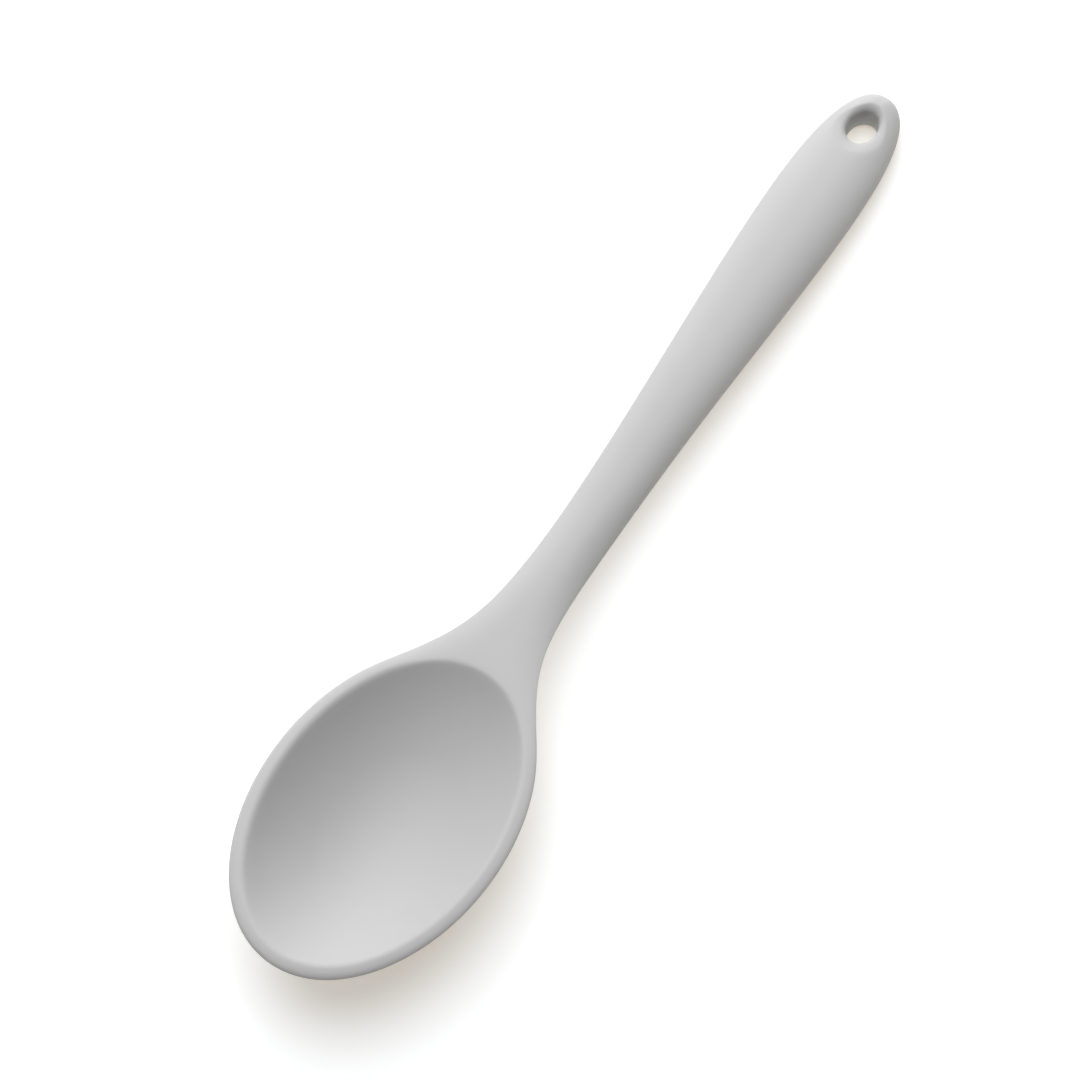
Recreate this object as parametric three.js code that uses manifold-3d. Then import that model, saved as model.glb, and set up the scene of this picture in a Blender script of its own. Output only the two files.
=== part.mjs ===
// A silicone cooking spoon: a stiff nylon core inside a soft silicone jacket.
// The jacket is moulded from two halves, an upper and a lower skin, that meet on a parting line round the
// outline and half way down the hanging hole. They grip the core through its key holes and slots.
// Everything is modelled in the mould's frame: x runs from the bowl's tip to the end of the handle, y goes
// across, and z is up from the parting line of the bowl's rim. The finished spoon is then laid on a table.

import * as THREE from "three";
import { mergeVertices } from "three/addons/utils/BufferGeometryUtils.js";
import Module from "manifold-3d";

// Driving dimensions, in millimetres

const LENGTH = 273.5; // bowl tip to handle end

const BOWL_LENGTH = 83.4; // the bowl's opening, along the handle
const BOWL_WIDTH = 53.8; // the bowl's opening, across
const BOWL_DEPTH = 17; // from the top of the rim
const BOWL_WALL = 4.6; // at the bottom of the bowl
const RIM_WIDTH = 3.35; // from the opening to the outside
const RIM_CROWN = 1.25; // top of the rim above its parting line
const RIM_ROUND = 3.3; // width of the rim's rounding, in from the outside
const RIM_SOFTENING = 0.9; // reach of the rounding on the rim's inner edge

const NECK_RUN = 40; // from the end of the bowl to the narrowest place
const NECK_WIDTH = 14.5;
const NECK_DROP = 2.1; // the neck's parting line below the rim's
const NECK_CROWN = 4.1; // above the parting line
const NECK_BELLY = 4.8; // below the parting line

const MIDDLE_CROWN = 5.2; // half way from the neck to the grip
const MIDDLE_BELLY = 5.4;

const GRIP_FROM_END = 35; // the widest place of the handle
const GRIP_WIDTH = 22.5;
const GRIP_RISE = 1; // the grip's parting line above the rim's
const GRIP_CROWN = 5.9;
const GRIP_BELLY = 6;

const END_CROWN = 4.6;
const END_BELLY = 4.6;

const HOLE_FROM_END = 12; // centre of the hanging hole
const HOLE_WIDTH = 7.3;
const HOLE_LENGTH = 9.9;
const HOLE_CROWN = 5.1; // the handle's half thicknesses there
const HOLE_BELLY = 5.1;
const HOLE_FLARE = 2.4; // rounding of both mouths
const FLARE_RUN = 2; // length of the mouths' shallow run-out

const SKIN = 1.6; // silicone over the core on the handle
const SIDE_SKIN = 1.8; // silicone beside the core on the handle
const LIP = 4.2; // soft silicone outside the core round the bowl
const HOLE_LINING = 1.2; // silicone between the hanging hole and the core
const PLATE = 1.6; // the core's thickness under the bowl

const KEY_HOLE = 5; // diameter of the core's round key holes
const KEY_HOLES = 8; // in a ring under the bowl
const KEY_RING = 0.62; // the ring's place, as a share of the bowl's outline
const SLOT_LENGTH = 15; // the handle's key slots
const SLOT_WIDTH = 5.4;
const SLOT_RUNG = 5.5; // core left standing between two slots

const FIT = 0.3; // clearance between the core and the jacket
const SEAM = 0.1; // parting line between the two skins
const REST_FLAT = 0.3; // depth of the flats that the spoon lies on

// Shape of the curves

const SHOULDER_ANGLE = THREE.MathUtils.degToRad(44.5); // where the bowl's ellipse turns into the neck
const SHOULDER_PULL = 0.38; // tangent lengths of the outline, as shares of each curve's run
const NECK_PULL_TO_BOWL = 0.61;
const NECK_PULL_TO_GRIP = 0.375;
const GRIP_PULL_TO_NECK = 0.285;
const GRIP_PULL_TO_END = 0.607;
const END_PULL = 0.722;
const BELLY_POWER = 0.8; // fullness of the bowl's underside
const KEEL_BLEND = 3; // how tightly the handle's underside runs into the bowl's
const CROWN_REACH = 0.92; // share of the handle's half width taken by its rounding
const DISH_BLEND = 3; // softening of the core under the rim's inner edge
const FLARE_TURN = THREE.MathUtils.degToRad(66); // how far the hanging hole's mouths turn outwards

// Fineness of the facets

const OUTLINE_STEPS = [17, 8, 9, 9]; // bowl, shoulder, handle and end of the skins
const CORE_STEPS = [12, 5, 7, 7]; // the same on the core
const CROWN_RINGS = 5;
const UNDERSIDE_RINGS = 8;
const PARTING_RINGS = 5;
const CORE_RINGS = 5;
const BOWL_SEGMENTS = 52;
const BOWL_RINGS = 7;
const ROLL_RINGS = 3;
const HOLE_SEGMENTS = 24;
const FLARE_RINGS = 4;
const KEY_SEGMENTS = 8;

// Places along the spoon

const bowlHalfLength = BOWL_LENGTH / 2 + RIM_WIDTH;
const bowlHalfWidth = BOWL_WIDTH / 2 + RIM_WIDTH;
const bowlCentre = bowlHalfLength;
const bowlEnd = bowlCentre + bowlHalfLength;
const neckAt = bowlEnd + NECK_RUN;
const gripAt = LENGTH - GRIP_FROM_END;
const middleAt = (neckAt + gripAt) / 2;
const holeAt = LENGTH - HOLE_FROM_END;
const shoulderAt = bowlCentre + bowlHalfLength * Math.cos(SHOULDER_ANGLE);

// Outline of one side, seen from above: an ellipse round the bowl, then three curves to the handle's end

function sideOutline() {
  const shoulder = new THREE.Vector2(shoulderAt, bowlHalfWidth * Math.sin(SHOULDER_ANGLE));
  const leaving = new THREE.Vector2(
    bowlHalfLength * Math.sin(SHOULDER_ANGLE),
    -bowlHalfWidth * Math.cos(SHOULDER_ANGLE),
  ).normalize();
  const neck = new THREE.Vector2(neckAt, NECK_WIDTH / 2);
  const grip = new THREE.Vector2(gripAt, GRIP_WIDTH / 2);
  const end = new THREE.Vector2(LENGTH, 0);

  const neckRun = neckAt - shoulderAt;
  const handleRun = gripAt - neckAt;
  const afterShoulder = shoulder.clone().addScaledVector(leaving, SHOULDER_PULL * neckRun);
  const beforeNeck = new THREE.Vector2(neckAt - NECK_PULL_TO_BOWL * neckRun, neck.y);
  const afterNeck = new THREE.Vector2(neckAt + NECK_PULL_TO_GRIP * handleRun, neck.y);
  const beforeGrip = new THREE.Vector2(gripAt - GRIP_PULL_TO_NECK * handleRun, grip.y);
  const afterGrip = new THREE.Vector2(gripAt + GRIP_PULL_TO_END * GRIP_FROM_END, grip.y);
  const beforeEnd = new THREE.Vector2(LENGTH, END_PULL * grip.y);

  return [
    new THREE.EllipseCurve(bowlCentre, 0, bowlHalfLength, bowlHalfWidth, Math.PI, SHOULDER_ANGLE, true),
    new THREE.CubicBezierCurve(shoulder, afterShoulder, beforeNeck, neck),
    new THREE.CubicBezierCurve(neck, afterNeck, beforeGrip, grip),
    new THREE.CubicBezierCurve(grip, afterGrip, beforeEnd, end),
  ];
}

// Rays that run square from the outline to their foot on the long axis, once round the spoon.
// A ray's reach is its length; at the tip and the end that is the outline's radius of curvature.
// No foot lies beyond that of the handle's end, so the rays there don't cross.

function raysRound(steps) {
  const hair = 1e-3;
  const side = [];
  sideOutline().forEach((curve, part) => {
    const first = part === 0 ? 0 : 1;
    for (let step = first; step <= steps[part]; step++) {
      const along = step / steps[part];
      const measured = THREE.MathUtils.clamp(along, hair, 1 - hair);
      const point = curve.getPoint(along);
      const tangent = curve.getTangent(along);
      const beside = curve.getTangent(measured);
      const reach = curve.getPoint(measured).y / beside.x;
      side.push({ x: point.x, y: point.y, foot: point.x + tangent.y * reach, reach });
    }
  });
  const end = side[side.length - 1];
  side.forEach((ray) => (ray.foot = Math.min(ray.foot, end.foot)));
  side[0].y = 0;
  end.y = 0;
  const back = side.slice(1, -1).reverse();
  const mirrored = back.map((ray) => ({ ...ray, y: -ray.y }));
  return [...side, ...mirrored];
}

// Height of the parting line and thickness above and below it, along the handle

const sections = new THREE.CubicInterpolant(
  [bowlEnd, neckAt, middleAt, gripAt, holeAt, LENGTH],
  [
    [0, RIM_CROWN, NECK_DROP + NECK_BELLY],
    [-NECK_DROP, NECK_CROWN, NECK_BELLY],
    [0, MIDDLE_CROWN, MIDDLE_BELLY],
    [GRIP_RISE, GRIP_CROWN, GRIP_BELLY],
    [GRIP_RISE, HOLE_CROWN, HOLE_BELLY],
    [GRIP_RISE, END_CROWN, END_BELLY],
  ].flat(),
  3,
);
sections.settings = { endingStart: THREE.ZeroSlopeEnding, endingEnd: THREE.ZeroSlopeEnding };

function sectionAt(x) {
  const [parting, crown, belly] = sections.evaluate(x);
  return { parting, crown, belly };
}

// How far a place has turned from bowl to handle: 0 on the bowl, 1 from the neck on
const handleShare = (x) => THREE.MathUtils.smoothstep(x, shoulderAt, (bowlEnd + neckAt) / 2);

// Rise of a rounded edge at a share of its reach
const roundRise = (share) => Math.sqrt(1 - (1 - Math.min(share, 1)) ** 2);

// The smaller of two heights, with the corner between them softened
function softMin(a, b, blend) {
  const overlap = Math.max(blend - Math.abs(a - b), 0) / blend;
  return Math.min(a, b) - (overlap * overlap * blend) / 4;
}

const ellipseShare = (x, y, halfLength, halfWidth) => Math.hypot((x - bowlCentre) / halfLength, y / halfWidth);

// The spoon's outside. A place is {x, y, depth, ray}, with its depth in from the outline along the ray.

const crownReach = (ray) => THREE.MathUtils.lerp(RIM_ROUND, CROWN_REACH * ray.reach, handleShare(ray.x));

function topHeight({ x, depth, ray }) {
  const { parting, crown } = sectionAt(x);
  return parting + SEAM / 2 + (crown - SEAM / 2) * roundRise(depth / crownReach(ray));
}

function undersideDepth(x, y, rounding) {
  const share = ellipseShare(x, y, bowlHalfLength, bowlHalfWidth);
  const bowlBelly = BOWL_DEPTH + BOWL_WALL - RIM_CROWN;
  const bowl = bowlBelly * Math.max(0, 1 - share * share) ** BELLY_POWER;
  const keel = sectionAt(x).belly * rounding * THREE.MathUtils.smoothstep(x, bowlCentre, bowlEnd);
  return (bowl ** KEEL_BLEND + keel ** KEEL_BLEND) ** (1 / KEEL_BLEND);
}

function bottomHeight({ x, y, depth, ray }) {
  const rounding = roundRise(depth / (CROWN_REACH * ray.reach));
  return sectionAt(x).parting - SEAM / 2 - undersideDepth(x, y, rounding);
}

// The bowl's dish is a paraboloid on an ellipse

function dishedTop(place) {
  const share = ellipseShare(place.x, place.y, BOWL_LENGTH / 2, BOWL_WIDTH / 2);
  const dish = RIM_CROWN - BOWL_DEPTH * (1 - share * share);
  return softMin(topHeight(place), dish, DISH_BLEND);
}

const middleHeight = (place) => (dishedTop(place) + bottomHeight(place)) / 2;

function coreHalfThickness(place) {
  const half = (dishedTop(place) - bottomHeight(place)) / 2;
  const plate = (PLATE / BOWL_WALL) * half;
  return Math.max(plate, THREE.MathUtils.lerp(plate, half - SKIN, handleShare(place.x)));
}

const coreInset = (ray) => THREE.MathUtils.lerp(LIP, SIDE_SKIN, handleShare(ray.x));

// A closed body between two height fields over the outline, or over the outline drawn in by an inset

const roundSpacing = (rings) => Array.from({ length: rings + 1 }, (_, k) => 1 - Math.cos((k / rings) * (Math.PI / 2)));

function depthsAcross(rings) {
  return (ray, inset) => roundSpacing(rings).map((share) => inset + share * (ray.reach - inset));
}

function depthsOfCrown(ray) {
  return [...roundSpacing(CROWN_RINGS).map((share) => share * crownReach(ray)), ray.reach];
}

function placeOnRay(ray, depth) {
  const share = depth / ray.reach;
  return { x: THREE.MathUtils.lerp(ray.x, ray.foot, share), y: ray.y * (1 - share), depth, ray };
}

function sheet(rays, insetOf, depthsOf, heightOf) {
  return rays.map((ray) =>
    depthsOf(ray, insetOf(ray)).map((depth) => {
      const place = placeOnRay(ray, depth);
      return new THREE.Vector3(place.x, place.y, heightOf(place));
    }),
  );
}

function bodyBetween(upper, lower) {
  const positions = [];
  const quad = (a, b, c, d) => [a, b, c, a, c, d].forEach((corner) => positions.push(corner.x, corner.y, corner.z));
  upper.forEach((here, index) => {
    const next = upper[(index + 1) % upper.length];
    const hereBelow = lower[index];
    const nextBelow = lower[(index + 1) % lower.length];
    quad(hereBelow[0], here[0], next[0], nextBelow[0]);
    for (let ring = 1; ring < here.length; ring++) {
      quad(here[ring - 1], here[ring], next[ring], next[ring - 1]);
    }
    for (let ring = 1; ring < hereBelow.length; ring++) {
      quad(hereBelow[ring - 1], nextBelow[ring - 1], nextBelow[ring], hereBelow[ring]);
    }
  });
  const geometry = new THREE.BufferGeometry();
  geometry.setAttribute("position", new THREE.Float32BufferAttribute(positions, 3));
  return solidOf(geometry);
}

// Solids for cutting and joining

const wasm = await Module();
wasm.setup();

function solidOf(geometry) {
  const bare = geometry.clone();
  bare.deleteAttribute("normal");
  bare.deleteAttribute("uv");
  const weldDistance = 1e-4;
  const merged = mergeVertices(bare, weldDistance);
  const corners = merged.index.array;
  const kept = [];
  for (let at = 0; at < corners.length; at += 3) {
    const [a, b, c] = corners.slice(at, at + 3);
    if (a !== b && b !== c && c !== a) kept.push(a, b, c);
  }
  const mesh = new wasm.Mesh({
    numProp: 3,
    vertProperties: merged.attributes.position.array,
    triVerts: Uint32Array.from(kept),
  });
  return new wasm.Manifold(mesh);
}

function pieceOf(name, solid, material) {
  const mesh = solid.getMesh();
  const geometry = new THREE.BufferGeometry();
  geometry.setAttribute("position", new THREE.BufferAttribute(mesh.vertProperties, 3));
  geometry.setIndex(new THREE.BufferAttribute(mesh.triVerts, 1));
  geometry.computeVertexNormals();
  const piece = new THREE.Mesh(geometry, material);
  piece.name = name;
  return piece;
}

const cutAll = (solid, tools) => tools.reduce((left, tool) => left.subtract(tool), solid);

// The hollow of the bowl: a paraboloid with its upper edge rolled over onto the rim

function bowlHollow() {
  const radius = BOWL_WIDTH / 2;
  const wallEnd = radius - RIM_SOFTENING;
  const wallEndHeight = -BOWL_DEPTH * (1 - (wallEnd / radius) ** 2);
  const wallSlope = (2 * BOWL_DEPTH * wallEnd) / radius ** 2;
  const corner = wallEnd - wallEndHeight / wallSlope;
  const rimStart = radius + RIM_SOFTENING;
  const above = BOWL_DEPTH;

  const dish = new THREE.QuadraticBezierCurve(
    new THREE.Vector2(0, -BOWL_DEPTH),
    new THREE.Vector2(wallEnd / 2, -BOWL_DEPTH),
    new THREE.Vector2(wallEnd, wallEndHeight),
  );
  const roll = new THREE.QuadraticBezierCurve(
    new THREE.Vector2(wallEnd, wallEndHeight),
    new THREE.Vector2(corner, 0),
    new THREE.Vector2(rimStart, 0),
  );
  const profile = [
    ...dish.getPoints(BOWL_RINGS),
    ...roll.getPoints(ROLL_RINGS).slice(1),
    new THREE.Vector2(rimStart, above),
    new THREE.Vector2(0, above),
  ];
  const geometry = new THREE.LatheGeometry(profile, BOWL_SEGMENTS);
  geometry.rotateX(Math.PI / 2);
  geometry.scale(BOWL_LENGTH / BOWL_WIDTH, 1, 1);
  geometry.translate(bowlCentre, 0, RIM_CROWN);
  return solidOf(geometry);
}

// The hanging hole: an oval bore with rounded mouths. Each mouth turns outwards, then runs out straight
// through the surface, and the whole tool is bent over the handle's crown, so the mouths are even all round.

function hangingHole() {
  const radius = HOLE_WIDTH / 2;
  const { parting, crown, belly } = sectionAt(holeAt);
  const slope = 1 / Math.tan(FLARE_TURN);
  const arcWidth = HOLE_FLARE * (1 - Math.cos(FLARE_TURN));
  const arcHeight = HOLE_FLARE * Math.sin(FLARE_TURN);
  const mouth = (surface) => {
    const start = surface - arcHeight - (HOLE_FLARE - arcWidth) * slope;
    const arc = Array.from({ length: FLARE_RINGS + 1 }, (_, k) => {
      const turn = (k / FLARE_RINGS) * FLARE_TURN;
      return new THREE.Vector2(radius + HOLE_FLARE * (1 - Math.cos(turn)), start + HOLE_FLARE * Math.sin(turn));
    });
    return [...arc, new THREE.Vector2(radius + HOLE_FLARE + FLARE_RUN, surface + FLARE_RUN * slope)];
  };
  const upperMouth = mouth(crown);
  const lowerMouth = mouth(belly).map((point) => new THREE.Vector2(point.x, -point.y));
  const widest = radius + HOLE_FLARE + FLARE_RUN;
  const clear = crown + belly;
  const profile = [
    new THREE.Vector2(0, -clear),
    new THREE.Vector2(widest, -clear),
    ...lowerMouth.reverse(),
    ...upperMouth,
    new THREE.Vector2(widest, clear),
    new THREE.Vector2(0, clear),
  ];
  const geometry = new THREE.LatheGeometry(profile, HOLE_SEGMENTS);
  geometry.rotateX(Math.PI / 2);

  const nearer = (a, b) => (Math.abs(a.foot - holeAt) < Math.abs(b.foot - holeAt) ? a : b);
  const { reach } = skinRays.reduce(nearer);
  const place = geometry.attributes.position;
  for (let index = 0; index < place.count; index++) {
    const inFromEdge = Math.max(0, reach - Math.abs(place.getY(index)));
    const bend = 1 - roundRise(inFromEdge / (CROWN_REACH * reach));
    const height = place.getZ(index);
    place.setZ(index, height > 0 ? height - bend * crown : height + bend * belly);
  }
  geometry.scale(HOLE_LENGTH / HOLE_WIDTH, 1, 1);
  geometry.translate(holeAt, 0, parting);
  return solidOf(geometry);
}

// The core's openings, each made smaller by a clearance where the jacket's silicone fills it

const toolHeight = 4 * (BOWL_DEPTH + BOWL_WALL);

function roundTool(x, y, radius) {
  const geometry = new THREE.CylinderGeometry(radius, radius, toolHeight, KEY_SEGMENTS);
  geometry.rotateX(Math.PI / 2);
  geometry.translate(x, y, 0);
  return solidOf(geometry);
}

function slotTool(x, clearance) {
  const radius = SLOT_WIDTH / 2 - clearance;
  const straight = (SLOT_LENGTH - SLOT_WIDTH) / 2;
  const shape = new THREE.Shape();
  shape.absarc(straight, 0, radius, -Math.PI / 2, Math.PI / 2, false);
  shape.absarc(-straight, 0, radius, Math.PI / 2, (3 * Math.PI) / 2, false);
  const geometry = new THREE.ExtrudeGeometry(shape, {
    depth: toolHeight,
    bevelEnabled: false,
    curveSegments: KEY_SEGMENTS / 2,
  });
  geometry.translate(x, 0, -toolHeight / 2);
  return solidOf(geometry);
}

function keyHoles(clearance) {
  const radius = KEY_HOLE / 2 - clearance;
  const ring = Array.from({ length: KEY_HOLES }, (_, index) => {
    const angle = ((index + 0.5) / KEY_HOLES) * 2 * Math.PI;
    const x = bowlCentre + KEY_RING * bowlHalfLength * Math.cos(angle);
    const y = KEY_RING * bowlHalfWidth * Math.sin(angle);
    return roundTool(x, y, radius);
  });
  return [roundTool(bowlCentre, 0, radius), ...ring];
}

function keySlots(clearance) {
  const eyeletHalfLength = (HOLE_LENGTH / HOLE_WIDTH) * (HOLE_WIDTH / 2 + HOLE_LINING);
  const first = bowlEnd + SLOT_RUNG + SLOT_LENGTH / 2;
  const last = holeAt - eyeletHalfLength - SLOT_RUNG - SLOT_LENGTH / 2;
  const gaps = Math.floor((last - first) / (SLOT_LENGTH + SLOT_RUNG));
  const pitch = (last - first) / gaps;
  return Array.from({ length: gaps + 1 }, (_, index) => slotTool(first + index * pitch, clearance));
}

function eyelet(clearance) {
  const radius = HOLE_WIDTH / 2 + HOLE_LINING - clearance;
  const geometry = new THREE.CylinderGeometry(radius, radius, toolHeight, HOLE_SEGMENTS);
  geometry.rotateX(Math.PI / 2);
  geometry.scale(HOLE_LENGTH / HOLE_WIDTH, 1, 1);
  geometry.translate(holeAt, 0, 0);
  return solidOf(geometry);
}

// The nylon core: a spine down the handle that spreads into a dished plate under the bowl

const coreRays = raysRound(CORE_STEPS);

function coreSolid(clearance) {
  const inset = (ray) => coreInset(ray) - clearance;
  const across = depthsAcross(CORE_RINGS);
  const upper = sheet(coreRays, inset, across, (p) => middleHeight(p) + coreHalfThickness(p) + clearance);
  const lower = sheet(coreRays, inset, across, (p) => middleHeight(p) - coreHalfThickness(p) - clearance);
  const openings = [...keyHoles(clearance), ...keySlots(clearance), eyelet(clearance)];
  return cutAll(bodyBetween(upper, lower), openings);
}

// The two halves of the silicone jacket, without the core's room

const skinRays = raysRound(OUTLINE_STEPS);
const noInset = () => 0;
const acrossParting = depthsAcross(PARTING_RINGS);

function upperHalf() {
  const top = sheet(skinRays, noInset, depthsOfCrown, topHeight);
  const parting = sheet(skinRays, noInset, acrossParting, (p) => middleHeight(p) + SEAM / 2);
  return bodyBetween(top, parting);
}

function lowerHalf() {
  const parting = sheet(skinRays, noInset, acrossParting, (p) => middleHeight(p) - SEAM / 2);
  const underside = sheet(skinRays, noInset, depthsAcross(UNDERSIDE_RINGS), bottomHeight);
  return bodyBetween(parting, underside);
}

// The line that the spoon lies on touches the bowl's underside and the handle's

function restingLine() {
  const samples = 400;
  const passes = 8;
  const axisHeight = (x) => sectionAt(x).parting - SEAM / 2 - undersideDepth(x, 0, 1);
  const lowest = (from, to, slope) => {
    let best = { x: from, height: Infinity };
    for (let step = 0; step <= samples; step++) {
      const x = THREE.MathUtils.lerp(from, to, step / samples);
      const height = axisHeight(x) - slope * x;
      if (height < best.height) best = { x, height };
    }
    return best;
  };
  let slope = 0;
  for (let pass = 0; pass < passes; pass++) {
    const bowl = lowest(0, neckAt, slope);
    const handle = lowest(neckAt, holeAt, slope);
    slope = (axisHeight(handle.x) - axisHeight(bowl.x)) / (handle.x - bowl.x);
  }
  return { slope, height: lowest(0, neckAt, slope).height };
}

// The spoon in its mould's frame, turned and lowered until it lies on the table at z = 0

const spoon = new THREE.Group();
const rest = restingLine();
spoon.rotation.y = Math.atan(rest.slope);
spoon.position.z = -rest.height * Math.cos(spoon.rotation.y) - REST_FLAT;
spoon.updateMatrixWorld();

function tableTool() {
  const thickness = BOWL_DEPTH;
  const geometry = new THREE.BoxGeometry(2 * LENGTH, 2 * LENGTH, thickness);
  geometry.translate(LENGTH / 2, 0, -thickness / 2);
  geometry.applyMatrix4(spoon.matrixWorld.clone().invert());
  return solidOf(geometry);
}

const silicone = new THREE.MeshStandardMaterial({ color: 0xb9b9ba, roughness: 0.72, metalness: 0 });
const nylon = new THREE.MeshStandardMaterial({ color: 0x8d8f92, roughness: 0.5, metalness: 0 });

const core = coreSolid(0);
const coreRoom = coreSolid(FIT);
const upperSkin = cutAll(upperHalf(), [bowlHollow(), hangingHole(), coreRoom]);
const lowerSkin = cutAll(lowerHalf(), [hangingHole(), coreRoom, tableTool()]);

spoon.add(pieceOf("core", core, nylon));
spoon.add(pieceOf("upper_skin", upperSkin, silicone));
spoon.add(pieceOf("lower_skin", lowerSkin, silicone));

// The origin is under the middle of the spoon, on the table
const box = new THREE.Box3().setFromObject(spoon, true);
spoon.position.x -= (box.min.x + box.max.x) / 2;

const siliconeSpoon = new THREE.Group();
siliconeSpoon.add(spoon);

export default siliconeSpoon;
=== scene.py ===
import math

import bmesh
import bpy
import numpy as np
from mathutils import Matrix, Vector
from mathutils.geometry import interpolate_bezier


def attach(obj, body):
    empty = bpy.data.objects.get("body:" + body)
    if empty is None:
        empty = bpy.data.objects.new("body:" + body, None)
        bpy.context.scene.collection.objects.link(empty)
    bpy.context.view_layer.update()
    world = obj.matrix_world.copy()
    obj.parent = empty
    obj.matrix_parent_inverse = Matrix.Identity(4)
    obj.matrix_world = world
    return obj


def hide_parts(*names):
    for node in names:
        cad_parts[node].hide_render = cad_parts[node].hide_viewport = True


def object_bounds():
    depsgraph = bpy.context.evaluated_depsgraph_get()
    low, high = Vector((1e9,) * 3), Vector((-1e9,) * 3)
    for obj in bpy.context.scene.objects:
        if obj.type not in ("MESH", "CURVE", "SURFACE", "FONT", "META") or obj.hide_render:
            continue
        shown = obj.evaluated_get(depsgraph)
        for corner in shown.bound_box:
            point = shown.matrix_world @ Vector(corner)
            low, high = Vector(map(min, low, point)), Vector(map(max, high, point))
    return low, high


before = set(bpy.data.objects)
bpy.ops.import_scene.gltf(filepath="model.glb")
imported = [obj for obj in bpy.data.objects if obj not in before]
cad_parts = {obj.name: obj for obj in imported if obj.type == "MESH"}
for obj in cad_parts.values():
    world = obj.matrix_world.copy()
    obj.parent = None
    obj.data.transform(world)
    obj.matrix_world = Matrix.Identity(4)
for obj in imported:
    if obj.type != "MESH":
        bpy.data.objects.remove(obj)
cad_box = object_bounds()


# The core
# The stiffener inside the spoon: one injection moulding of grey nylon with short glass fibres in it.
# It is laid in the mould first, and the silicone closes round it and through its holes and slots.

class Wire:
    """A socket in a material. Sums on it add Math nodes, and node() adds any other node."""

    def __init__(self, tree, socket=None):
        self.tree = tree
        self.socket = socket

    def node(self, kind, settings=None, inputs=None, output=0):
        made = self.tree.nodes.new(kind)
        for name, value in (settings or {}).items():
            setattr(made, name, value)
        for name, value in (inputs or {}).items():
            if isinstance(value, Wire):
                self.tree.links.new(value.socket, made.inputs[name])
            else:
                made.inputs[name].default_value = value
        return Wire(self.tree, made.outputs[output])

    def sum_of(self, operation, first, second):
        return self.node("ShaderNodeMath", {"operation": operation}, {0: first, 1: second})

    def __add__(self, other):
        return self.sum_of("ADD", self, other)

    __radd__ = __add__

    def __mul__(self, other):
        return self.sum_of("MULTIPLY", self, other)

    __rmul__ = __mul__

    def shades(self, dark, pale):
        """A colour between two, by this value"""
        first, second = (colour if isinstance(colour, Wire) else (*colour, 1) for colour in (dark, pale))
        inputs = {"Factor": self, "A": first, "B": second}
        return self.node("ShaderNodeMix", {"data_type": "RGBA"}, inputs, "Result")


def new_finish(name, constants):
    """A material with a Principled shader, and the places on the object that its textures hang on"""
    finish = bpy.data.materials.new(name)
    finish.use_nodes = True
    shader = finish.node_tree.nodes["Principled BSDF"]
    for socket, value in constants.items():
        shader.inputs[socket].default_value = value
    place = Wire(finish.node_tree).node("ShaderNodeTexCoord", output="Object")
    return finish, shader, place


def feed(shader, socket, wire):
    wire.tree.links.new(wire.socket, shader.inputs[socket])


nylon_dark = (0.21, 0.215, 0.225)
nylon_pale = (0.33, 0.335, 0.345)
nylon, nylon_shader, on_core = new_finish("glass_filled_nylon", {"IOR": 1.53, "Specular IOR Level": 0.4})
fibres = on_core.node("ShaderNodeTexNoise", inputs={"Vector": on_core, "Scale": 2600, "Detail": 3})
flow_marks = on_core.node("ShaderNodeTexNoise", inputs={"Vector": on_core, "Scale": 45, "Detail": 2})
feed(nylon_shader, "Base Color", (0.6 * fibres + 0.4 * flow_marks).shades(nylon_dark, nylon_pale))
feed(nylon_shader, "Roughness", 0.42 + 0.18 * fibres)
feed(nylon_shader, "Normal", on_core.node(
    "ShaderNodeBump", inputs={"Strength": 0.3, "Distance": 0.00004, "Height": fibres}, output="Normal"))

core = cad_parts["core"]
core.data.materials.clear()
core.data.materials.append(nylon)


# The lower half of the jacket
# The bowl's underside and the handle's: food-grade silicone, pressed and cured in the lower half of
# a blasted steel mould. It ends on the parting line round the outline and half way up the hanging hole.

mm = 0.001
spoon_length = 273.5 * mm
bowl_half_length = 45.05 * mm
bowl_half_width = 30.25 * mm
bowl_depth = 17 * mm
bowl_wall = 4.6 * mm
rim_width = 3.35 * mm
rim_crown = 1.25 * mm
seam = 0.1 * mm

bowl_end = 2 * bowl_half_length
neck_at = bowl_end + 40 * mm
grip_at = spoon_length - 35 * mm
hole_at = spoon_length - 12 * mm
neck_half_width = 7.25 * mm
grip_half_width = 11.25 * mm
shoulder_angle = math.radians(44.5)
shoulder_at = bowl_half_length * (1 + math.cos(shoulder_angle))

# How far each curve of the outline keeps its direction where it starts and stops, as a share of its run,
# and at the handle's end as a share of the grip's half width
leaves_shoulder = 0.38
meets_neck = 0.61
leaves_neck = 0.375
meets_grip = 0.285
leaves_grip = 0.607
meets_end = 0.722


def on_bowl_edge(angle):
    return Vector((bowl_half_length * (1 + math.cos(angle)), bowl_half_width * math.sin(angle), 0))


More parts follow.
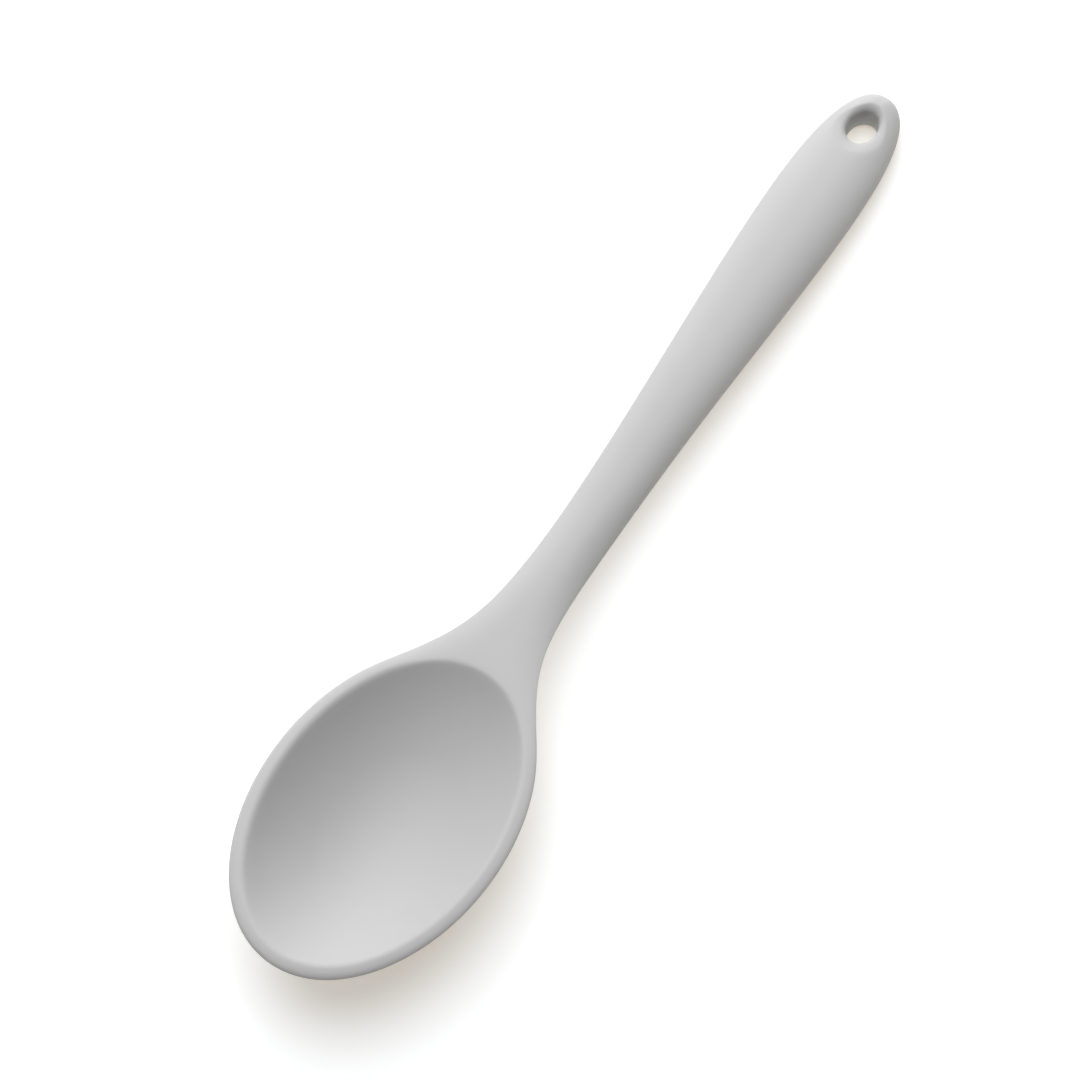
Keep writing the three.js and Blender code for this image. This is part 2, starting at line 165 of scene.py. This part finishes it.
def outline_points():
    """One side of the spoon from the bowl's tip to the handle's end: an ellipse, then three curves"""
    points_each = 700
    bowl = [on_bowl_edge(angle) for angle in np.linspace(math.pi, shoulder_angle, points_each)]
    shoulder = bowl[-1]
    neck = Vector((neck_at, neck_half_width, 0))
    grip = Vector((grip_at, grip_half_width, 0))
    end = Vector((spoon_length, 0, 0))
    run_out = bowl_half_length * math.sin(shoulder_angle)
    run_in = bowl_half_width * math.cos(shoulder_angle)
    leaving = Vector((run_out, -run_in, 0)).normalized()
    along = Vector((1, 0, 0))
    sideways = Vector((0, 1, 0))
    neck_run = neck_at - shoulder_at
    handle_run = grip_at - neck_at
    end_run = spoon_length - grip_at
    off_shoulder = shoulder + leaves_shoulder * neck_run * leaving
    curves = (
        (shoulder, off_shoulder, neck - meets_neck * neck_run * along, neck),
        (neck, neck + leaves_neck * handle_run * along, grip - meets_grip * handle_run * along, grip),
        (grip, grip + leaves_grip * end_run * along, end + meets_end * grip_half_width * sideways, end),
    )
    handle = [point for curve in curves for point in interpolate_bezier(*curve, points_each)[1:]]
    return np.array([point.xy for point in bowl + handle])


outline = outline_points()
tangents = np.gradient(outline, axis=0)
tangents /= np.linalg.norm(tangents, axis=1, keepdims=True)
inwards = np.column_stack((tangents[:, 1], -tangents[:, 0]))


def smooth_share(value, start, stop):
    """Nothing before the start, one after the stop, and an even swing between them"""
    share = min(max((value - start) / (stop - start), 0), 1)
    return share * share * (3 - 2 * share)


half_oval = 0.5


def round_rise(share, arch=half_oval):
    """Height of a rounded edge at a share of its width: a half oval, or slimmer as the power nears one"""
    return (1 - (1 - min(share, 1)) ** 2) ** arch


section_places = (bowl_end, neck_at, (neck_at + grip_at) / 2, grip_at, hole_at, spoon_length)
section_sizes = mm * np.array((
    # parting line, crown above it, belly below it
    (0, 1.25, 6.9),
    (-2.1, 4.1, 4.8),
    (0, 5.2, 5.4),
    (1, 5.9, 6),
    (1, 5.1, 5.1),
    (1, 4.6, 4.6),
))


def handle_section(x):
    """Height of the parting line, and the thickness above and below it, at a place along the spoon"""
    runs = np.diff(section_places)
    steps = np.diff(section_sizes, axis=0) / runs[:, None]
    slopes = np.vstack((0 * steps[:1], (steps[1:] + steps[:-1]) / 2, 0 * steps[:1]))
    x = min(max(x, section_places[0]), section_places[-1])
    span = min(int(np.searchsorted(section_places, x, side="right")) - 1, len(runs) - 1)
    run = runs[span]
    gone = (x - section_places[span]) / run
    to_go = 1 - gone
    start = (1 + 2 * gone) * to_go ** 2 * section_sizes[span] + gone * to_go ** 2 * run * slopes[span]
    stop = (1 + 2 * to_go) * gone ** 2 * section_sizes[span + 1]
    stop -= to_go * gone ** 2 * run * slopes[span + 1]
    return start + stop


def in_from_edge(x, y):
    """Distance in from the outline, the outline's place along the spoon, and its distance to the axis"""
    offset = np.array((x, abs(y))) - outline
    nearest = int(np.argmin((offset ** 2).sum(axis=1)))
    depth = max(float(offset[nearest] @ inwards[nearest]), 0)
    clear_of_ends = 2
    beside = min(max(nearest, clear_of_ends), len(outline) - 1 - clear_of_ends)
    reach = outline[beside, 1] / tangents[beside, 0]
    return depth, outline[nearest, 0], reach


crown_reach = 0.92
bowl_fullness = 0.8
blend_power = 3


def underside_height(x, y):
    """The lower surface: the bowl's belly, blended into the rounded underside of the handle"""
    depth, _, reach = in_from_edge(x, y)
    parting, _, belly = handle_section(x)
    share = math.hypot(x / bowl_half_length - 1, y / bowl_half_width)
    bowl = (bowl_depth + bowl_wall - rim_crown) * max(1 - share * share, 0) ** bowl_fullness
    on_handle = smooth_share(x, bowl_half_length, bowl_end)
    keel = belly * round_rise(depth / (crown_reach * reach)) * on_handle
    return parting - seam / 2 - (bowl ** blend_power + keel ** blend_power) ** (1 / blend_power)


def grow(mesh, chain, closed=False):
    """Extrudes a chain of vertices and returns the new chain in the same order"""
    following = chain[1:] + chain[:1] if closed else chain[1:]
    edges = [mesh.edges.get(pair) for pair in zip(chain, following)]
    made = set(bmesh.ops.extrude_edge_only(mesh, edges=edges)["geom"])
    return [
        next(edge.other_vert(vert) for edge in vert.link_edges if edge.other_vert(vert) in made)
        for vert in chain
    ]


def in_order(verts, turn, corner):
    """The vertices of a ring in the order of their turns, beginning at a corner"""
    hair = 1e-4
    return sorted(verts, key=lambda vert: (turn(vert) - corner + hair) % math.tau)


def eased(step, steps):
    """Shares that come closer together towards one"""
    return math.sin(step / steps * math.pi / 2)


dish_half_length = bowl_half_length - rim_width
dish_half_width = bowl_half_width - rim_width
rim_softening = 0.75 * mm


def on_dish(share, angle, outwards=0):
    """A place on an oval that is a share of the dish's edge, or a little outwards from it"""
    cosine = math.cos(angle)
    sine = math.sin(angle)
    middle = Vector((bowl_half_length, 0, 0))
    place = Vector((dish_half_length * cosine, dish_half_width * sine, 0))
    square_to_edge = Vector((dish_half_width * cosine, dish_half_length * sine, 0)).normalized()
    return middle + share * place + outwards * square_to_edge


grid_side = 16
rim_rings = 8
grid_share = 0.54
dish_shares = (0.68, 0.8, 0.885, 0.94)


def bowl_sheet(mesh, height_of):
    """A grid pressed into an oval, grown ring by ring to the outline, but for the side that joins the neck.
    Returns the chain of vertices across that side, from one side of the outline to the other."""
    bmesh.ops.create_grid(mesh, x_segments=grid_side, y_segments=grid_side, size=1)
    for vert in mesh.verts:
        u, v, _ = vert.co
        vert.co.x = bowl_half_length + grid_share * dish_half_length * u * math.sqrt(1 - v * v / 2)
        vert.co.y = grid_share * dish_half_width * v * math.sqrt(1 - u * u / 2)

    def turn(vert):
        across = vert.co.y / dish_half_width
        lengthways = (vert.co.x - bowl_half_length) / dish_half_length
        return math.atan2(across, lengthways)

    ring = in_order([vert for vert in mesh.verts if vert.is_boundary], turn, math.pi / 4)
    turns = [turn(vert) for vert in ring]
    edge_rings = [(1, outwards) for outwards in (-rim_softening, 0, rim_softening)]
    for share, outwards in [(share, 0) for share in dish_shares] + edge_rings:
        ring = grow(mesh, ring, closed=True)
        for vert, angle in zip(ring, turns):
            vert.co = on_dish(share, angle, outwards)

    three_sides = 3 * grid_side
    rings = [ring[:three_sides + 1]]
    for step in range(1, rim_rings + 1):
        rings.append(grow(mesh, rings[-1]))
        for vert, angle in zip(rings[-1], turns):
            inner = on_dish(1, angle, rim_softening)
            vert.co = inner.lerp(on_bowl_edge(angle), eased(step, rim_rings))
    for vert in mesh.verts:
        vert.co.z = height_of(vert.co.x, vert.co.y)
    arc = ring[:three_sides:-1]
    return [chain[0] for chain in reversed(rings)] + arc + [chain[-1] for chain in rings]


hole_half_width = 3.65 * mm
hole_stretch = 9.9 / 7.3
mouth_round = 2.4 * mm
mouth_turn = math.radians(66)
reaches_in = outline[1:-1, 1] / tangents[1:-1, 0]
feet = outline[1:-1, 0] + tangents[1:-1, 1] * reaches_in
hole_reach = float(reaches_in[np.argmin(abs(feet - hole_at))])


def mouth_place(reach, angle, up):
    """A place on one of the hole's mouths, a bore that turns outwards and is bent over the handle"""
    parting, crown, belly = handle_section(hole_at)
    slope = 1 / math.tan(mouth_turn)
    arc_width = mouth_round * (1 - math.cos(mouth_turn))
    out = reach - hole_half_width
    if out < arc_width:
        turn = math.acos(1 - out / mouth_round)
        sunk = mouth_round * (math.sin(mouth_turn) - math.sin(turn)) + (mouth_round - arc_width) * slope
    else:
        sunk = (mouth_round - out) * slope
    x = hole_at + reach * hole_stretch * math.cos(angle)
    y = reach * math.sin(angle)
    arch = round_rise((hole_reach - abs(y)) / (crown_reach * hole_reach))
    return Vector((x, y, parting + up * ((crown if up > 0 else belly) * arch - sunk)))


def mouth_reach(angle, height_of, up):
    """How far from the hole's middle its mouth comes out of the handle's surface"""
    halvings = 30
    inside = hole_half_width
    outside = hole_half_width + 2 * mouth_round
    for _ in range(halvings):
        reach = (inside + outside) / 2
        place = mouth_place(reach, angle, up)
        if up * (height_of(place.x, place.y) - place.z) > 0:
            inside = reach
        else:
            outside = reach
    return inside


hole_side = 12
hole_rings = 10
mouth_rings = 8


def eyelet_sheet(mesh, height_of, up):
    """The hole's mouth, and the sheet round it out to the outline, but for the side that joins the handle.
    Returns the throat's ring and the chain of vertices across that side."""

    def turn(vert):
        return math.atan2(vert.co.y, vert.co.x)

    circle = bmesh.ops.create_circle(mesh, segments=4 * hole_side, radius=1)["verts"]
    mouth = in_order(circle, turn, -3 * math.pi / 4)
    turns = [turn(vert) for vert in mouth]
    reaches = [mouth_reach(angle, height_of, up) for angle in turns]
    for vert, angle, reach in zip(mouth, turns, reaches):
        vert.co = mouth_place(reach, angle, up)

    ring = mouth
    for step in range(1, mouth_rings + 1):
        ring = grow(mesh, ring, closed=True)
        share = 1 - eased(step, mouth_rings)
        for vert, angle, reach in zip(ring, turns, reaches):
            vert.co = mouth_place(hole_half_width + (reach - hole_half_width) * share, angle, up)

    three_sides = 3 * hole_side
    rings = [mouth[:three_sides + 1]]
    inner = [vert.co.copy() for vert in rings[0]]
    outer = []
    edge_turns = np.arctan2(outline[:, 1], (outline[:, 0] - hole_at) / hole_stretch)
    for angle in turns[:three_sides + 1]:
        nearest = int(np.argmin(abs(edge_turns - abs(angle))))
        outer.append(Vector((outline[nearest, 0], math.copysign(outline[nearest, 1], angle), 0)))
    for step in range(1, hole_rings + 1):
        rings.append(grow(mesh, rings[-1]))
        for vert, start, stop in zip(rings[-1], inner, outer):
            x, y, _ = start.lerp(stop, eased(step, hole_rings))
            vert.co = (x, y, height_of(x, y))
    arc = mouth[three_sides + 1:]
    return ring, [chain[-1] for chain in reversed(rings)] + arc + [chain[0] for chain in rings]


handle_stations = 34
from_bowl = 36 * mm
to_eyelet = 22 * mm


def handle_sheet(mesh, height_of, start, stop):
    """Joins the bowl's chain to the eyelet's by stations down the handle, straight across in its middle"""
    first = start[0].co.copy()
    last = stop[0].co.copy()
    lanes = []
    for number, (at_bowl, at_eyelet) in enumerate(zip(start, stop)):
        lane = math.cos(math.pi * number / (len(start) - 1))
        bowl_end_of_lane = (at_bowl.co.x - first.x, at_bowl.co.y / first.y)
        eyelet_end_of_lane = (at_eyelet.co.x - last.x, at_eyelet.co.y / last.y)
        lanes.append((*bowl_end_of_lane, lane, *eyelet_end_of_lane))

    handle = outline[outline[:, 0] > bowl_half_length]
    chain = start
    for station in range(1, handle_stations):
        x = first.x + (last.x - first.x) * station / handle_stations
        half_width = float(np.interp(x, handle[:, 0], handle[:, 1]))
        left_bowl = smooth_share(x - first.x, 0, from_bowl)
        near_eyelet = 1 - smooth_share(last.x - x, 0, to_eyelet)
        chain = grow(mesh, chain)
        for vert, (bowl_bulge, bowl_lane, lane, eyelet_bulge, eyelet_lane) in zip(chain, lanes):
            across = bowl_lane + (lane - bowl_lane) * left_bowl
            across += (eyelet_lane - across) * near_eyelet
            place = (x + bowl_bulge * (1 - left_bowl) + eyelet_bulge * near_eyelet, half_width * across)
            vert.co = (*place, height_of(*place))
    both = list(zip(chain, chain[1:])) + list(zip(stop, stop[1:]))
    bmesh.ops.bridge_loops(mesh, edges=[mesh.edges.get(pair) for pair in both])


rest_tilt = math.radians(4.34)
rest_height = 23.63 * mm
lying = Matrix.Translation((cad_box[0][0], 0, rest_height)) @ Matrix.Rotation(rest_tilt, 4, "Y")
throat_steps = 2
rounding_levels = 2
jacket_wall = 1 * mm


def jacket_half(name, height_of, up):
    """One half of the jacket: a sheet over the outline at its height, with the hole's throat sunk in it"""
    mesh = bmesh.new()
    neck_side = bowl_sheet(mesh, height_of)
    ring, handle_side = eyelet_sheet(mesh, height_of, up)
    handle_sheet(mesh, height_of, neck_side, handle_side)
    parting = handle_section(hole_at)[0] + up * seam / 2
    tops = [vert.co.z for vert in ring]
    for step in range(1, throat_steps + 1):
        ring = grow(mesh, ring, closed=True)
        for vert, top in zip(ring, tops):
            vert.co.z = top + (parting - top) * step / throat_steps

    bmesh.ops.recalc_face_normals(mesh, faces=mesh.faces)
    if up * sum(face.normal.z for face in mesh.faces) < 0:
        bmesh.ops.reverse_faces(mesh, faces=mesh.faces)
    bmesh.ops.transform(mesh, matrix=lying, verts=mesh.verts)
    for vert in mesh.verts:
        vert.co.z = max(vert.co.z, 0)
    for face in mesh.faces:
        face.smooth = True
    for edge in mesh.edges:
        edge.smooth = not edge.is_boundary
    half = bpy.data.objects.new(name, bpy.data.meshes.new(name))
    mesh.to_mesh(half.data)
    mesh.free()
    bpy.context.scene.collection.objects.link(half)
    rounding = half.modifiers.new("rounding", "SUBSURF")
    rounding.levels = rounding_levels
    rounding.render_levels = rounding_levels
    wall = half.modifiers.new("wall", "SOLIDIFY")
    wall.thickness = jacket_wall
    wall.offset = -1
    wall.use_even_offset = True
    return half


silicone_dark = (0.467, 0.467, 0.471)
silicone_pale = (0.505, 0.505, 0.507)
silicone, silicone_shader, on_spoon = new_finish("matte_grey_silicone", {
    "IOR": 1.42,
    "Specular IOR Level": 0.35,
    "Subsurface Weight": 0.15,
    "Subsurface Radius": (1, 1, 1),
    "Subsurface Scale": 0.0012,
    "Sheen Weight": 0.08,
    "Sheen Roughness": 0.6,
})
cloudy = on_spoon.node("ShaderNodeTexNoise", inputs={"Vector": on_spoon, "Scale": 32, "Detail": 2})
blasted = on_spoon.node("ShaderNodeTexNoise", inputs={"Vector": on_spoon, "Scale": 5200, "Detail": 2})
feed(silicone_shader, "Base Color", (0.7 * cloudy + 0.3 * blasted).shades(silicone_dark, silicone_pale))
feed(silicone_shader, "Roughness", 0.56 + 0.1 * blasted + 0.06 * cloudy)
feed(silicone_shader, "Normal", on_spoon.node(
    "ShaderNodeBump", inputs={"Strength": 0.25, "Distance": 0.00003, "Height": blasted}, output="Normal"))

underside = jacket_half("jacket_underside", underside_height, -1)
underside.data.materials.append(silicone)
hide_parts("lower_skin")
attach(underside, "root")


# The upper half of the jacket
# The dished inside of the bowl, its rolled rim and the crowned top of the handle, in the same silicone.
# It is pressed onto the core and the lower half in one shot, and cures into one jacket with it.

rim_round = 3.3 * mm
neck_arch = 0.85
arch_fades_from = neck_at - 15 * mm
arch_fades_to = neck_at + 20 * mm


def top_height(x, y):
    """The upper surface: the rim and the handle's crown, and the dish with its softened edge"""
    depth, edge_x, reach = in_from_edge(x, y)
    parting, crown, _ = handle_section(x)
    on_handle = smooth_share(edge_x, shoulder_at, (bowl_end + neck_at) / 2)
    rounding = rim_round + (crown_reach * reach - rim_round) * on_handle
    on_neck = smooth_share(edge_x, shoulder_at, bowl_end)
    on_neck -= smooth_share(edge_x, arch_fades_from, arch_fades_to)
    arch = half_oval + (neck_arch - half_oval) * on_neck
    top = parting + seam / 2 + (crown - seam / 2) * round_rise(depth / rounding, arch)

    lengthways = (x - bowl_half_length) / dish_half_length
    across = y / dish_half_width
    least = 1e-6
    share = max(math.hypot(lengthways, across), least)
    share_per_metre = math.hypot(lengthways / dish_half_length, across / dish_half_width) / share
    softening = rim_softening * share_per_metre
    if share >= 1 + softening:
        return top
    if share > 1 - softening:
        return top - bowl_depth / (2 * softening) * (1 + softening - share) ** 2
    return rim_crown - bowl_depth * (1 - share * share)


upper = jacket_half("jacket_top", top_height, 1)
upper.data.materials.append(silicone)
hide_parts("upper_skin")
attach(upper, "root")


# The studio
# A wide white table that glows a little, in a white room; where the spoon closes it in, a darker, warmer
# shadow is painted into the glow that the camera sees.
# Two round soft lamps stand behind the spoon, a wide one high up and a smaller one near the table.

table_half_width = 6
table = bpy.data.objects.new("table", bpy.data.meshes.new("table"))
table_mesh = bmesh.new()
bmesh.ops.create_grid(table_mesh, x_segments=1, y_segments=1, size=table_half_width)
table_mesh.to_mesh(table.data)
table_mesh.free()
bpy.context.scene.collection.objects.link(table)


def seen_directly(tree):
    """One for the rays that come from the camera or off a gloss, and nothing for the light that bounces"""
    wire = Wire(tree)
    camera_ray, glossy_ray, transmission_ray = (
        wire.node("ShaderNodeLightPath", output=name)
        for name in ("Is Camera Ray", "Is Glossy Ray", "Is Transmission Ray")
    )
    return wire.sum_of("MAXIMUM", camera_ray, wire.sum_of("MAXIMUM", glossy_ray, transmission_ray))


table_as_bounce = (0.68, 0.67, 0.65)
table_as_seen = (0.62, 0.665, 0.695)
glow_as_bounce = (0.38, 0.36, 0.32)
# The seen glow's colour where the spoon closes the table in is a painted shadow, darker and warmer than the
# open table.
glow_in_painted_shadow = (0.385, 0.32, 0.235)
glow_in_open = (0.545, 0.53, 0.52)
painted_shadow_reach = 0.12
acrylic, acrylic_shader, _ = new_finish("white_acrylic", {
    "Roughness": 0.95,
    "Specular IOR Level": 0.05,
    "Emission Strength": 1,
})
seen_table = seen_directly(acrylic.node_tree)
feed(acrylic_shader, "Base Color", seen_table.shades(table_as_bounce, table_as_seen))
# Ambient occlusion paints a soft shadow into the glow that the camera sees, where the spoon closes the
# table in.
painted_shadow_openness = seen_table.node("ShaderNodeAmbientOcclusion", inputs={"Distance": painted_shadow_reach}, output="AO")
seen_glow_with_painted_shadow = painted_shadow_openness.shades(glow_in_painted_shadow, glow_in_open)
feed(acrylic_shader, "Emission Color", seen_table.shades(glow_as_bounce, seen_glow_with_painted_shadow))
table.data.materials.append(acrylic)


lamp_distance = 1.8


def soft_lamp(name, strength, size, bearing, height):
    """A round softbox: the share of white that it gives on the spoon, its width and its place in degrees"""
    lamp = bpy.data.objects.new(name, bpy.data.lights.new(name, "AREA"))
    half_size = math.radians(size / 2)
    lamp.data.shape = "DISK"
    lamp.data.size = 2 * lamp_distance * math.tan(half_size)
    lamp.data.energy = strength * (math.pi * lamp_distance / math.cos(half_size)) ** 2
    turned_round = Matrix.Rotation(math.radians(bearing), 4, "Z")
    turned_down = Matrix.Rotation(math.radians(90 - height), 4, "Y")
    lamp.matrix_world = turned_round @ turned_down @ Matrix.Translation((0, 0, lamp_distance))
    bpy.context.scene.collection.objects.link(lamp)


soft_lamp("high_lamp", strength=0.92, size=66, bearing=36, height=72)
soft_lamp("low_lamp", strength=0.55, size=44, bearing=43, height=18.5)

room_as_bounce = (0.02, 0.02, 0.02)
room_as_seen = (1, 1, 1)
room = bpy.data.worlds.new("pale_room")
room.use_nodes = True
bpy.context.scene.world = room
seen_room = seen_directly(room.node_tree)
feed(room.node_tree.nodes["Background"], "Color", seen_room.shades(room_as_bounce, room_as_seen))

# The camera is placed along the spoon's own axes, from its bowl, before the spoon is laid down
camera = bpy.data.objects.new("camera", bpy.data.cameras.new("camera"))
camera.data.lens = 150
camera.data.sensor_width = 36
looks_at = Vector((123.57 * mm, 7.24 * mm, 0))
towards = Vector((-0.3905, -0.2464, 0.8870))
upwards = Vector((0.7502, 0.4733, 0.4617))
rightwards = upwards.cross(towards)
turned = Matrix((rightwards, upwards, towards)).transposed().to_4x4()
distance = 1063.5 * mm
camera.matrix_world = lying @ Matrix.Translation(looks_at + distance * towards) @ turned
bpy.context.scene.collection.objects.link(camera)
bpy.context.scene.camera = camera
bpy.context.scene.view_settings.view_transform = "Standard"
